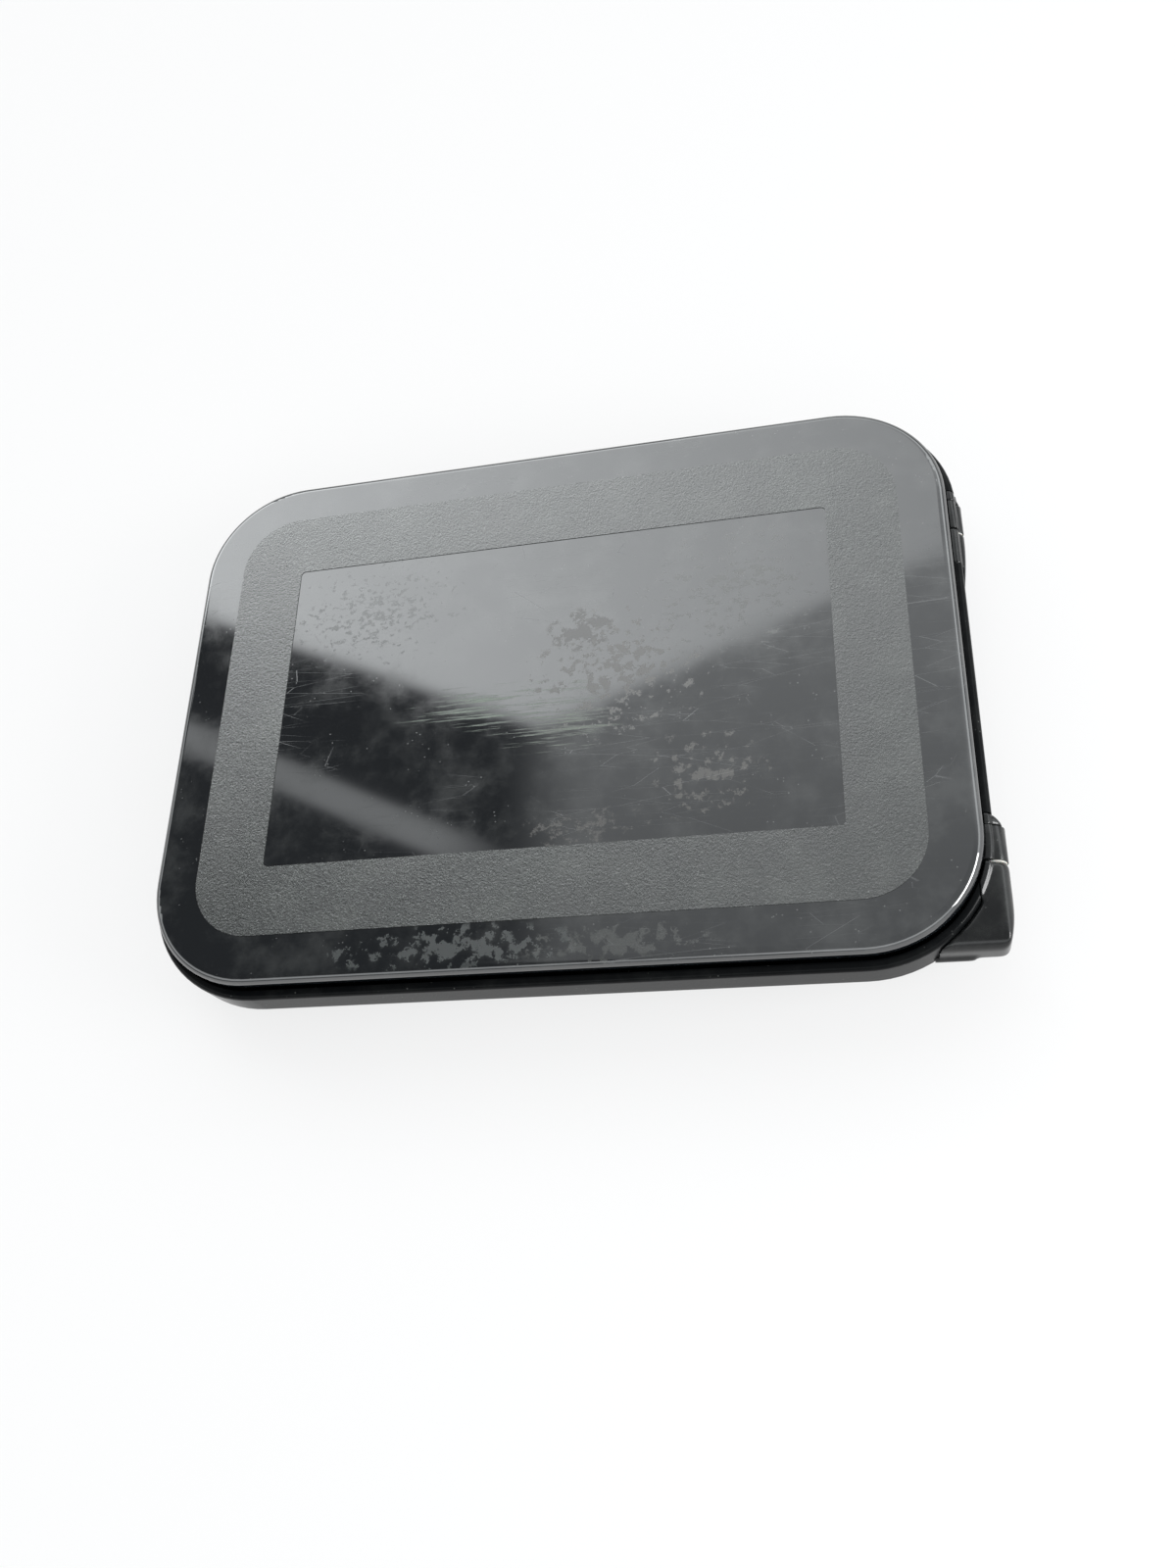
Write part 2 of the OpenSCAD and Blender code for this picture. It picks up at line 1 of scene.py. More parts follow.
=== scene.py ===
# %% [markdown]
# # A low-profile deck hatch, finished in Blender
# The construction model arrives as a fixed set of parts, in metres. Everything here is
# built round it: the light, the camera, the finishes and the pieces that need softer
# shapes than the construction model has. Loading the parts first means every later
# position can be measured from them, so nothing has to be fitted by eye.

import json
import math

import bpy
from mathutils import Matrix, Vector


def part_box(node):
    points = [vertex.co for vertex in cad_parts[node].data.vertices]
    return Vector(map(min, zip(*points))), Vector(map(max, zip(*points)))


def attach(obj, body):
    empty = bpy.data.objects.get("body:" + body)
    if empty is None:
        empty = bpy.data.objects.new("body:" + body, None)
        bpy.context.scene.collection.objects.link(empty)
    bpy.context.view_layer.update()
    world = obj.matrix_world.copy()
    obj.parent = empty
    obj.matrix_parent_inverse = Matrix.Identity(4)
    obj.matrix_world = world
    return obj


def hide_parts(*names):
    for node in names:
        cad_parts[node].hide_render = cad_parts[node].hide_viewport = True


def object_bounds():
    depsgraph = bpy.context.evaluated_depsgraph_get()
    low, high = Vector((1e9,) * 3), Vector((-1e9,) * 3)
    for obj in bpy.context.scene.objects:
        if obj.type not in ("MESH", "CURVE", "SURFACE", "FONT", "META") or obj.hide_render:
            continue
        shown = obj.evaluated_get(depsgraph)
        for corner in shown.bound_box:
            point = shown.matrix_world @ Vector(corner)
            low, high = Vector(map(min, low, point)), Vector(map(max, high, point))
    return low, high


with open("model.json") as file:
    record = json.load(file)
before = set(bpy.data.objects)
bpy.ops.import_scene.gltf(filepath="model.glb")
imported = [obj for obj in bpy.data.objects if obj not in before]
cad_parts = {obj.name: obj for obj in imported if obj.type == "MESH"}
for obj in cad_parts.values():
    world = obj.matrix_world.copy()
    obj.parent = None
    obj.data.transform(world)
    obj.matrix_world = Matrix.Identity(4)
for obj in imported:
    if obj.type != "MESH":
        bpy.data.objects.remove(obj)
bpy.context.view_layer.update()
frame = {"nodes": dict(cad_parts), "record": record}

# %% [markdown]
# ## Camera
# A hatch like this is looked at from above and in front. The camera could be aimed with a
# tracking constraint, but plain angles are easier to read and stay put when other views
# move the camera. The lens is slightly wide, as on a hand-held camera, which is why the
# near edge of the hatch looks larger than the far one.

# %% Camera
scene = bpy.context.scene
CAMERA_PLACE = (0.20188, -0.39584, 0.72432)
CAMERA_ANGLES = (25.0734, 13.6376, 1.2528)
FOCAL_LENGTH = 30.15
SENSOR_WIDTH = 36
NEAR_CLIP = 0.01

bpy.ops.object.camera_add(location=CAMERA_PLACE, rotation=[math.radians(a) for a in CAMERA_ANGLES])
camera = bpy.context.object
camera.name = "camera"
camera.data.lens = FOCAL_LENGTH
camera.data.sensor_width = SENSOR_WIDTH
camera.data.clip_start = NEAR_CLIP
scene.camera = camera
scene.view_settings.view_transform = "Standard"
print("camera at", tuple(round(v, 3) for v in camera.location))

# %% [markdown]
# ## Node helpers
# The floor, the background and the finishes are all networks of shader nodes. They could
# be laid out by hand in the shader editor. Small helpers that add a node, join two
# sockets or do one sum keep each network to a few lines, readable from top to bottom.
# The last five work on whichever network the name `tree` stands for at the time.

# %% Node helpers
def new_material(name):
    """A material with an empty node tree."""
    material = bpy.data.materials.new(name)
    material.use_nodes = True
    material.node_tree.nodes.clear()
    return material


def add(tree, kind, **settings):
    """Adds a node. Settings with a leading capital are input sockets, the rest are options."""
    node = tree.nodes.new(kind)
    for key, value in settings.items():
        if key[0].isupper():
            node.inputs[key.replace("_", " ")].default_value = value
        else:
            setattr(node, key, value)
    return node


def join(tree, output, target):
    """Connects an output socket to an input socket."""
    tree.links.new(output, target)


def maths(operation, first, second=None, clamp=False):
    """A math node whose inputs are numbers or sockets; returns its output."""
    node = tree.nodes.new("ShaderNodeMath")
    node.operation = operation
    node.use_clamp = clamp
    for i, value in enumerate([first, second]):
        if value is None:
            continue
        if isinstance(value, (int, float)):
            node.inputs[i].default_value = value
        else:
            tree.links.new(value, node.inputs[i])
    return node.outputs[0]


def product(first, *others):
    """Multiplies numbers and sockets, one after the other."""
    for other in others:
        first = maths("MULTIPLY", first, other)
    return first


def opposite(mask):
    """One minus a mask."""
    return maths("SUBTRACT", 1.0, mask)


def step(value, low, high):
    """0 below low, 1 above high, and a soft ramp between."""
    node = tree.nodes.new("ShaderNodeMapRange")
    node.interpolation_type = "SMOOTHSTEP"
    tree.links.new(value, node.inputs["Value"])
    node.inputs["From Min"].default_value = low
    node.inputs["From Max"].default_value = high
    return node.outputs["Result"]


def texture(kind, place, **settings):
    """A texture node that is looked up at the given place; returns the node."""
    node = add(tree, kind, **settings)
    tree.links.new(place, node.inputs["Vector"])
    return node


print("node helpers ready")

# %% [markdown]
# ## Floor
# The hatch stands on its spigot, so the floor lies at the lowest point of the parts.
# A floor lit only by lamps would come out grey. Here most of its brightness is its own
# colour, shown to camera, glossy and transmission rays alike, and the rest is an ordinary
# matte surface, which keeps the soft shadow under the frame.

# %% Floor
FLOOR_SIZE = 16
FLOOR_GAP = 0.0002
PAPER_COLOUR = (0.86, 0.86, 0.86, 1)
WHITE = (1, 1, 1, 1)
OWN_WHITE_SHARE = 0.75

floor_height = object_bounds()[0].z
bpy.ops.mesh.primitive_plane_add(size=FLOOR_SIZE, location=(0, 0, floor_height - FLOOR_GAP))
floor = bpy.context.object
floor.name = "floor"

floor_finish = new_material("floor_paper")
tree = floor_finish.node_tree
paper = add(tree, "ShaderNodeBsdfDiffuse", Color=PAPER_COLOUR)
own_white = add(tree, "ShaderNodeEmission", Color=WHITE, Strength=1.0)
path = add(tree, "ShaderNodeLightPath")
seen = maths("MAXIMUM", path.outputs["Is Camera Ray"], path.outputs["Is Glossy Ray"])
seen = maths("MAXIMUM", seen, path.outputs["Is Transmission Ray"])
mix = add(tree, "ShaderNodeMixShader")
out = add(tree, "ShaderNodeOutputMaterial")
join(tree, product(seen, OWN_WHITE_SHARE), mix.inputs["Fac"])
join(tree, paper.outputs[0], mix.inputs[1])
join(tree, own_white.outputs[0], mix.inputs[2])
join(tree, mix.outputs[0], out.inputs["Surface"])
floor.data.materials.append(floor_finish)
print("floor at", round(floor_height, 4))

# %% [markdown]
# ## Light
# A glossy sheet shows mostly what it reflects, so the light has to be thought of as a
# picture that the sheet mirrors. Studios hang a large soft panel over the far side of
# such an object and leave the near side dark. Separate lamps could do that, but their
# edges would show as bright rectangles. The panels are therefore part of the world's
# background, where brightness depends only on the direction and every edge is soft.
# Two slopes describe a direction: how far it leans to the side, and how far away to the
# back, for each metre that it rises.

# %% Directions in the background
LOWEST_RISE = 0.02

world = bpy.data.worlds.new("soft_studio")
scene.world = world
world.use_nodes = True
tree = world.node_tree
tree.nodes.clear()

direction = add(tree, "ShaderNodeTexCoord")
parts = add(tree, "ShaderNodeSeparateXYZ")
join(tree, direction.outputs["Generated"], parts.inputs[0])
height = parts.outputs["Z"]
up = maths("MAXIMUM", height, LOWEST_RISE)
side = maths("DIVIDE", parts.outputs["X"], up)
away = maths("DIVIDE", parts.outputs["Y"], up)
print("world nodes:", len(tree.nodes))

# %% [markdown]
# The main panel's near edge is two straight lines that meet over the middle of the hatch.
# The panel is brighter on the left, so that the sheet goes from light to dark grey. Each
# pair of numbers is where a soft edge starts and where it ends.

# %% Main panel
LEFT_SLOPE = 0.448
LEFT_EDGE = (0.392, 0.412)
RIGHT_SLOPE = 0.382
RIGHT_EDGE = (0.640, 0.660)
FAR_EDGE = (1.6, 2.6)
PANEL_LEVEL = 1.85
PANEL_FALL = 2.2
FALL_FROM, FALL_TO = -0.65, 0.3

left_line = maths("ADD", product(side, LEFT_SLOPE), away)
right_line = maths("SUBTRACT", away, product(side, RIGHT_SLOPE))
in_left = step(left_line, *LEFT_EDGE)
in_right = step(right_line, *RIGHT_EDGE)
panel = product(in_left, in_right, opposite(step(away, *FAR_EDGE)))
fall = maths("MINIMUM", maths("MAXIMUM", side, FALL_FROM), FALL_TO)
panel_level = maths("SUBTRACT", PANEL_LEVEL, product(fall, PANEL_FALL))
print("panel level", PANEL_LEVEL)

# %% [markdown]
# Four more areas make up the room. A grey wall stands on the right of the near side. A
# bright ledge a little above the horizon draws thin light lines along rounded edges, and
# a dim low wall lies below it. A narrow reflector strip crosses the dark part on the left.

# %% Walls, ledge and strip
WALL_EDGE = (-0.34, -0.25)
WALL_LEVEL = 0.42
WALL_RISE = (0.25, 0.7)
WALL_GAIN = 0.5
LEDGE_FOOT = (0.22, 0.32)
LEDGE_TOP = (0.48, 0.62)
LEDGE_LEVEL = 1.5
LOW_WALL_TOP = (0.2, 0.35)
LOW_WALL_LEVEL = 0.35
STRIP_SLOPE = 0.483
STRIP_PLACE = 0.247
STRIP_EDGE = (0.010, 0.022)
STRIP_LEFT = (-1.4, -1.1)
STRIP_RIGHT = (-0.40, -0.30)
STRIP_LEVEL = 1.0
ROOM_LEVEL = 0.09

grey_wall = product(opposite(in_right), step(side, *WALL_EDGE))
grey_level = maths("ADD", WALL_LEVEL, product(step(away, *WALL_RISE), WALL_GAIN))
ledge = product(step(height, *LEDGE_FOOT), opposite(step(height, *LEDGE_TOP)))
low_wall = opposite(step(height, *LOW_WALL_TOP))
strip_line = maths("ADD", away, product(side, STRIP_SLOPE))
off_strip = maths("ABSOLUTE", maths("SUBTRACT", strip_line, STRIP_PLACE))
strip_ends = product(step(side, *STRIP_LEFT), opposite(step(side, *STRIP_RIGHT)))
strip = product(opposite(step(off_strip, *STRIP_EDGE)), strip_ends)

level = product(panel, panel_level)
for area, brightness in (
    (grey_wall, grey_level),
    (ledge, LEDGE_LEVEL),
    (low_wall, LOW_WALL_LEVEL),
    (strip, STRIP_LEVEL),
):
    level = maths("ADD", level, product(area, brightness))
level = maths("ADD", level, ROOM_LEVEL)
print("world nodes:", len(tree.nodes))

# %% [markdown]
# The camera itself sees plain white behind the floor. Only reflections and light see the
# panels, so the picture keeps a clean background.

# %% Background shader
SKY_COLOUR = (0.955, 0.985, 1.0, 1)

soft_sky = add(tree, "ShaderNodeBackground", Color=SKY_COLOUR)
join(tree, level, soft_sky.inputs["Strength"])
white_back = add(tree, "ShaderNodeBackground", Color=WHITE, Strength=1.0)
path = add(tree, "ShaderNodeLightPath")
mix = add(tree, "ShaderNodeMixShader")
out = add(tree, "ShaderNodeOutputWorld")
join(tree, path.outputs["Is Camera Ray"], mix.inputs["Fac"])
join(tree, soft_sky.outputs[0], mix.inputs[1])
join(tree, white_back.outputs[0], mix.inputs[2])
join(tree, mix.outputs[0], out.inputs["Surface"])
print("world nodes:", len(tree.nodes))

# %% [markdown]
# A weak lamp from the right gives the black castings a small, readable highlight.

# %% Side lamp
LAMP_PLACE = (1.6, -0.35, 0.62)
LAMP_TARGET = (0.2, -0.1, 0)
LAMP_WIDTH, LAMP_HEIGHT = 0.9, 0.45
LAMP_ENERGY = 16

bpy.ops.object.light_add(type="AREA", location=LAMP_PLACE)
side_lamp = bpy.context.object
side_lamp.name = "side_lamp"
side_lamp.data.shape = "RECTANGLE"
side_lamp.data.size = LAMP_WIDTH
side_lamp.data.size_y = LAMP_HEIGHT
side_lamp.data.energy = LAMP_ENERGY
aim = Vector(LAMP_TARGET) - side_lamp.location
side_lamp.rotation_euler = aim.to_track_quat("-Z", "Y").to_euler()
side_lamp.visible_camera = False
print("lamp energy", side_lamp.data.energy)

# %% [markdown]
# ## Shared effects
# Three effects come back on several finishes: a fine grain in moulded and cast surfaces,
# settled dust, and patches of wear. Each is a node group with named inputs, built once.
# A group gives back only masks, so each finish decides what to do with them.

# %% Group tools
def new_group(name, inputs, outputs):
    """An empty shader node group with the named sockets."""
    group = bpy.data.node_groups.new(name, "ShaderNodeTree")
    for label, kind, value in inputs:
        kind = "NodeSocket" + kind
        socket = group.interface.new_socket(name=label, in_out="INPUT", socket_type=kind)
        socket.default_value = value
    for label in outputs:
        group.interface.new_socket(name=label, in_out="OUTPUT", socket_type="NodeSocketFloat")
    return group, group.nodes.new("NodeGroupInput"), group.nodes.new("NodeGroupOutput")


def use_group(tree, group, **values):
    """Places a group in a material with its own values."""
    node = tree.nodes.new("ShaderNodeGroup")
    node.node_tree = group
    for key, value in values.items():
        node.inputs[key.replace("_", " ")].default_value = value
    return node


print("group tools ready")

# %% [markdown]
# Moulds and castings leave a surface that is never quite even. Small noise stands for the
# grain, and large noise for slow changes of tone across the part.

# %% Fine grain
TONE_SCALE = 9.0

grain_group, given, result = new_group(
    "fine_grain",
    [("Scale", "Float", 600.0), ("Contrast", "Float", 1.0)],
    ["Height", "Tone"],
)
tree = grain_group
place = add(tree, "ShaderNodeTexCoord").outputs["Object"]
small = texture("ShaderNodeTexNoise", place, Detail=3.0, Roughness=0.6)
large = texture("ShaderNodeTexNoise", place, Scale=TONE_SCALE, Detail=4.0, Roughness=0.55)
join(tree, given.outputs["Scale"], small.inputs["Scale"])
centred = product(maths("SUBTRACT", small.outputs["Fac"], 0.5), given.outputs["Contrast"])
join(tree, maths("ADD", centred, 0.5), result.inputs["Height"])
join(tree, large.outputs["Fac"], result.inputs["Tone"])
print("group:", grain_group.name)

# %% [markdown]
# Dust lies as a thin film in clouds, with single specks where it has gathered. Cells of
# random size make the specks, and a second noise chooses the areas that have them.

# %% Settled dust
SPECK_SCALE = 260.0
AREA_SCALE = 55.0
FILM_EDGE = (0.42, 0.72)
SPECK_EDGE = (0.06, 0.17)
AREA_EDGE = (0.5, 0.62)

dust_group, given, result = new_group(
    "settled_dust",
    [("Scale", "Float", 40.0), ("Amount", "Float", 0.3), ("Specks", "Float", 0.3)],
    ["Mask"],
)
tree = dust_group
place = add(tree, "ShaderNodeTexCoord").outputs["Object"]
cloud = texture("ShaderNodeTexNoise", place, Detail=5.0, Roughness=0.65)
speck = texture("ShaderNodeTexVoronoi", place, Scale=SPECK_SCALE, Randomness=1.0)
speck_area = texture("ShaderNodeTexNoise", place, Scale=AREA_SCALE, Detail=2.0)
join(tree, given.outputs["Scale"], cloud.inputs["Scale"])
film = product(step(cloud.outputs["Fac"], *FILM_EDGE), given.outputs["Amount"])
dots = opposite(step(speck.outputs["Distance"], *SPECK_EDGE))
dots = product(dots, step(speck_area.outputs["Fac"], *AREA_EDGE), given.outputs["Specks"])
join(tree, maths("MAXIMUM", film, dots, clamp=True), result.inputs["Mask"])
print("group:", dust_group.name)

# %% [markdown]
# A patch is an oval area with a ragged edge. Its centre and half sizes are in metres on
# the hatch, and noise eats into its border. A stretch value well below 1 draws the noise
# out along X, which turns blotches into wiped smears.

# %% Patch
MIDDLE_GAIN = 0.16
BORDER_EDGE = (0.0, 0.25)

patch_group, given, result = new_group(
    "patch",
    [
        ("Centre", "Vector", (0.0, 0.0, 0.0)),
        ("Half Size", "Vector", (0.02, 0.02, 1.0)),
        ("Noise Scale", "Float", 80.0),
        ("Stretch", "Float", 1.0),
        ("Threshold", "Float", 0.5),
        ("Edge", "Float", 0.05),
    ],
    ["Mask"],
)
tree = patch_group


def vector_maths(operation, first, second):
    """A vector math node whose inputs are vectors or sockets; returns the node."""
    node = tree.nodes.new("ShaderNodeVectorMath")
    node.operation = operation
    for i, value in enumerate([first, second]):
        if isinstance(value, tuple):
            node.inputs[i].default_value = value
        else:
            tree.links.new(value, node.inputs[i])
    return node


place = add(tree, "ShaderNodeTexCoord").outputs["Object"]
offset = vector_maths("SUBTRACT", place, given.outputs["Centre"])
flat = vector_maths("MULTIPLY", offset.outputs["Vector"], (1.0, 1.0, 0.0))
scaled = vector_maths("DIVIDE", flat.outputs["Vector"], given.outputs["Half Size"])
reach = vector_maths("LENGTH", scaled.outputs["Vector"], (0.0, 0.0, 0.0))
stretch = add(tree, "ShaderNodeCombineXYZ", Y=1.0, Z=1.0)
join(tree, given.outputs["Stretch"], stretch.inputs["X"])
pulled = vector_maths("MULTIPLY", place, stretch.outputs["Vector"])
ragged = texture("ShaderNodeTexNoise", pulled.outputs["Vector"], Detail=6.0, Roughness=0.68)
join(tree, given.outputs["Noise Scale"], ragged.inputs["Scale"])
falloff = opposite(reach.outputs["Value"])
body = maths("ADD", ragged.outputs["Fac"], product(falloff, MIDDLE_GAIN))
above = maths("SUBTRACT", body, given.outputs["Threshold"])
over = maths("DIVIDE", above, given.outputs["Edge"], clamp=True)
inside = step(falloff, *BORDER_EDGE)
join(tree, maths("MULTIPLY", over, inside, clamp=True), result.inputs["Mask"])
print("group:", patch_group.name)

# %% [markdown]
# ## Finishes
# A helper starts each finish: a Principled shader with its plain values typed straight
# into its sockets, and an output. What varies over the surface is then connected to base
# colour, roughness and normal. A Mix node has one set of sockets for each type of data,
# so its colour sockets are picked by their number.

# %% Finish helpers
COLOUR_A, COLOUR_B, COLOUR_RESULT = 6, 7, 2


def finish(name, colour, **values):
    """A material with a Principled shader; returns material, tree and shader."""
    material = new_material(name)
    tree = material.node_tree
    shader = add(tree, "ShaderNodeBsdfPrincipled", **values)
    shader.inputs["Base Color"].default_value = (*colour, 1)
    out = add(tree, "ShaderNodeOutputMaterial")
    join(tree, shader.outputs[0], out.inputs["Surface"])
    return material, tree, shader


def blend_colour(tree, mask, first, second):
    """Mixes two colours, each a tuple or a socket, by a mask; returns the colour."""
    node = add(tree, "ShaderNodeMix", data_type="RGBA")
    tree.links.new(mask, node.inputs["Factor"])
    for number, value in ((COLOUR_A, first), (COLOUR_B, second)):
        if isinstance(value, tuple):
            node.inputs[number].default_value = (*value, 1)
        else:
            tree.links.new(value, node.inputs[number])
    return node.outputs[COLOUR_RESULT]


def vary(tree, mask, low, high):
    """A number that runs from low to high as the mask runs from 0 to 1."""
    node = add(tree, "ShaderNodeMapRange")
    tree.links.new(mask, node.inputs["Value"])
    for label, value in (("To Min", low), ("To Max", high)):
        if isinstance(value, (int, float)):
            node.inputs[label].default_value = value
        else:
            tree.links.new(value, node.inputs[label])
    return node.outputs["Result"]


def bump(tree, shader, height, distance, strength=1.0):
    """Feeds a height into the shader's normal."""
    node = add(tree, "ShaderNodeBump", Strength=strength, Distance=distance)
    tree.links.new(height, node.inputs["Height"])
    tree.links.new(node.outputs["Normal"], shader.inputs["Normal"])


print("finish helpers ready")

# %% [markdown]
# Most parts are painted, anodised, moulded or cast, and differ only in colour, gloss and
# grain. One function makes all of those: the grain moves the tone, the gloss and the
# normal a little, and dust turns the surface pale and dull.

# %% Coated and moulded finishes
DUST = (0.30, 0.31, 0.29)
DUST_ROUGHNESS = 0.75
DUST_SPECKS = 0.2
TONE_SPREAD = (0.8, 1.2)
GLOSS_SPREAD = (0.85, 1.15)


def coated(name, colour, rough, grain_scale, grain_depth, dust, **values):
    """A coated, moulded or cast finish: grain in the surface and dust on it."""
    material, tree, shader = finish(name, colour, Roughness=rough, **values)
    grain = use_group(tree, grain_group, Scale=grain_scale)
    settled = use_group(tree, dust_group, Amount=dust, Specks=DUST_SPECKS)
    darker, lighter = [tuple(spread * c for c in colour) for spread in TONE_SPREAD]
    smoother, rougher = [spread * rough for spread in GLOSS_SPREAD]
    shade = blend_colour(tree, grain.outputs["Tone"], darker, lighter)
    shade = blend_colour(tree, settled.outputs["Mask"], shade, DUST)
    gloss = vary(tree, grain.outputs["Tone"], smoother, rougher)
    gloss = vary(tree, settled.outputs["Mask"], gloss, DUST_ROUGHNESS)
    join(tree, shade, shader.inputs["Base Color"])
    join(tree, gloss, shader.inputs["Roughness"])
    bump(tree, shader, grain.outputs["Height"], grain_depth)
    return material


COATED = {
    # colour, roughness, grain scale, grain depth in metres, dust, other shader values
    "base_frame_black": ((0.0035, 0.004, 0.0045), 0.20, 900, 0.00002, 0.02, {"Specular_IOR_Level": 0.07}),
    "lid_frame_black": ((0.007, 0.007, 0.008), 0.32, 900, 0.00004, 0.05, {"Specular_IOR_Level": 0.4}),
    "hinge_black": ((0.0045, 0.005, 0.0055), 0.17, 700, 0.00002, 0.05, {"Specular_IOR_Level": 0.42}),
    "latch_black": ((0.020, 0.020, 0.021), 0.38, 800, 0.00005, 0.06, {}),
    "black_adhesive": ((0.008, 0.008, 0.008), 0.55, 300, 0.00010, 0.02, {}),
    "seal_rubber": ((0.022, 0.022, 0.022), 0.62, 500, 0.00006, 0.12, {}),
    "white_nylon": ((0.62, 0.61, 0.57), 0.42, 500, 0.00003, 0.05,
                    {"Subsurface_Weight": 0.1, "Subsurface_Scale": 0.002}),
    "cam_grey": ((0.11, 0.115, 0.12), 0.45, 600, 0.00006, 0.06, {}),
}
finishes = {}
for name, (*look, values) in COATED.items():
    finishes[name] = coated(name, *look, **values)
print("finishes:", sorted(finishes))

# %% [markdown]
# Turned and stamped stainless steel has fine lines from the tool. Noise that is squeezed
# in one direction gives those lines, and they change the roughness and the normal.

# %% Stainless steel
STEEL = (0.60, 0.60, 0.59)
STEEL_DUSTY = (0.36, 0.35, 0.33)
LINE_SCALE = 260.0
LINE_SQUEEZE = (1.0, 1.0, 14.0)
LINE_DEPTH = 0.00002

steel, tree, shader = finish("stainless_steel", STEEL, Metallic=1.0, Roughness=0.28)
place = add(tree, "ShaderNodeTexCoord").outputs["Object"]
squeeze = add(tree, "ShaderNodeMapping", Scale=LINE_SQUEEZE)
join(tree, place, squeeze.inputs["Vector"])
lines = texture("ShaderNodeTexNoise", squeeze.outputs["Vector"], Scale=LINE_SCALE, Detail=3.0)
settled = use_group(tree, dust_group, Amount=0.25, Specks=0.1)
shade = blend_colour(tree, settled.outputs["Mask"], STEEL, STEEL_DUSTY)
join(tree, shade, shader.inputs["Base Color"])
join(tree, vary(tree, lines.outputs["Fac"], 0.20, 0.42), shader.inputs["Roughness"])
bump(tree, shader, lines.outputs["Fac"], LINE_DEPTH, 0.6)
finishes["stainless_steel"] = steel
print("steel ready")

# %% [markdown]
# ## Smoked acrylic
# The lens is a thick sheet of smoked acrylic, so dark that it reads as black glass. What
# shows is its mirror-like surface and everything that lies on it: wiped smears, dried
# residue, a dull film near the front edge, dust, and hairline scratches. Each is a patch
# with its own colour, and each one also dulls the gloss where it lies. All of it lies on
# the upper side only, which the height of each point tells apart from the underside.

# %% Smoked acrylic with dust on its upper side
LENS_BLACK = (0.0055, 0.0068, 0.0085)
LENS_DUST = (0.17, 0.175, 0.17)
LENS_ROUGHNESS = (0.045, 0.35)
FACE_DEPTHS = (0.004, 0.002)

acrylic, tree, shader = finish("smoked_acrylic", LENS_BLACK, Roughness=0.04, IOR=2.1)
place = add(tree, "ShaderNodeTexCoord").outputs["Object"]
parts = add(tree, "ShaderNodeSeparateXYZ")
join(tree, place, parts.inputs[0])
lens_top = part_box("lens")[1].z
upper_side = step(parts.outputs["Z"], *[lens_top - depth for depth in FACE_DEPTHS])
settled = use_group(tree, dust_group, Scale=26.0, Amount=0.16, Specks=0.55)
dust_here = product(settled.outputs["Mask"], upper_side)
shade = blend_colour(tree, dust_here, LENS_BLACK, LENS_DUST)
dullness = vary(tree, dust_here, *LENS_ROUGHNESS)
print("lens top at", round(lens_top, 4))

# %% [markdown]
# The marks are one table, so that each can be moved or weakened on its own. The first two
# are wiped smears, drawn out along X. The others are residue and dull film.

# %% Marks on the lens
MARK_ROUGHNESS = 0.34
LENS_MARKS = [
    # centre x, y, half size x, y, noise scale, stretch, threshold, edge, colour, strength
    (-0.030, -0.010, 0.078, 0.022, 520.0, 0.04, 0.60, 0.14, (0.100, 0.140, 0.095), 0.80),
    (0.010, -0.030, 0.052, 0.020, 620.0, 0.035, 0.59, 0.12, (0.110, 0.140, 0.098), 0.75),
    (0.022, 0.038, 0.026, 0.018, 110.0, 1.0, 0.57, 0.03, (0.045, 0.043, 0.040), 0.90),
    (0.045, 0.005, 0.070, 0.055, 150.0, 1.0, 0.625, 0.04, (0.070, 0.066, 0.060), 0.80),
    (0.100, -0.068, 0.046, 0.038, 150.0, 1.0, 0.63, 0.05, (0.095, 0.089, 0.080), 0.55),
    (0.028, -0.098, 0.052, 0.016, 160.0, 0.8, 0.63, 0.05, (0.090, 0.085, 0.078), 0.50),
    (-0.050, -0.167, 0.095, 0.017, 105.0, 1.0, 0.600, 0.03, (0.036, 0.042, 0.041), 0.80),
    (0.045, -0.169, 0.065, 0.015, 120.0, 1.0, 0.605, 0.03, (0.045, 0.048, 0.045), 0.70),
    (-0.050, 0.166, 0.085, 0.014, 190.0, 0.5, 0.66, 0.04, (0.050, 0.055, 0.055), 0.70),
    (0.120, 0.060, 0.085, 0.060, 240.0, 0.6, 0.645, 0.04, (0.070, 0.072, 0.068), 0.75),
    (-0.115, 0.070, 0.085, 0.050, 260.0, 0.8, 0.635, 0.04, (0.060, 0.064, 0.062), 0.75),
]
for x, y, half_x, half_y, scale, pull, threshold, edge, colour, strength in LENS_MARKS:
    mark = use_group(tree, patch_group, Centre=(x, y, 0), Half_Size=(half_x, half_y, 1),
                     Noise_Scale=scale, Stretch=pull, Threshold=threshold, Edge=edge)
    amount = product(mark.outputs["Mask"], strength, upper_side)
    shade = blend_colour(tree, amount, shade, colour)
    dullness = vary(tree, amount, dullness, MARK_ROUGHNESS)
print("marks:", len(LENS_MARKS))

# %% [markdown]
# Hairline scratches are thin lines where one cell of a stretched cell pattern meets the
# next. A cloudy mask leaves them only in some areas. Last, the sheet gets a very slight
# waviness, as cast acrylic has, which keeps the mirrored edges from looking drawn.

# %% Scratches and waviness
SCRATCH_DIRECTIONS = ((0.5, 11.0), (-0.9, 8.0))  # turn in radians, scale
SCRATCH_STRETCH = (1.0, 9.0, 1.0)
SCRATCH_WIDTH = (0.001, 0.004)
SCRATCHED_AREAS = (0.50, 0.62)
SCRATCH_COLOUR = (0.20, 0.205, 0.21)
SCRATCH_STRENGTH = 0.18
SCRATCH_ROUGHNESS = 0.30
WAVE_SCALE = 7.0
WAVE_DEPTH = 0.0006

